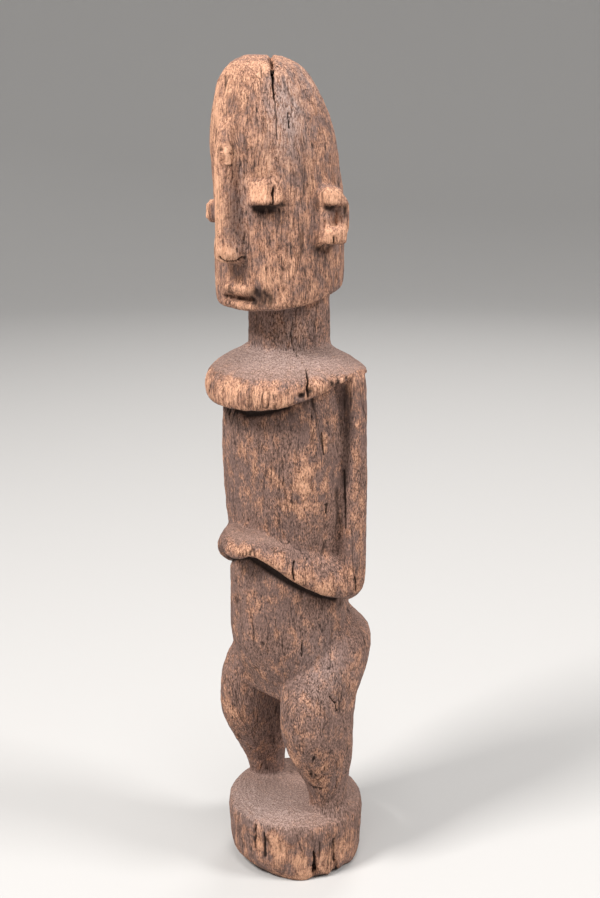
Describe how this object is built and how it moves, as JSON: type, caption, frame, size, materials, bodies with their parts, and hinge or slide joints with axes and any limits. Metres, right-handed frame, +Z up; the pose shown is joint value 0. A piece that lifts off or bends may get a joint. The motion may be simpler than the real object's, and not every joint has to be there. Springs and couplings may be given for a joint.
{
  "type": "carved wooden ancestor figure",
  "caption": "Standing figure with a tall pointed head, a slab of shoulders, forearms round the belly and bent legs, carved from one block with a round base.",
  "frame": {"origin": "middle of the base's flat underside", "axes": "+Z up, -Y the way the figure faces, +X the figure's left side"},
  "size_m": [0.1154, 0.1142, 0.559],
  "materials": {
    "weathered_wood": "dry weathered wood with a worn grey-brown patina"
  },
  "bodies": {
    "root": {"figure": "weathered_wood"}
  },
  "joints": []
}
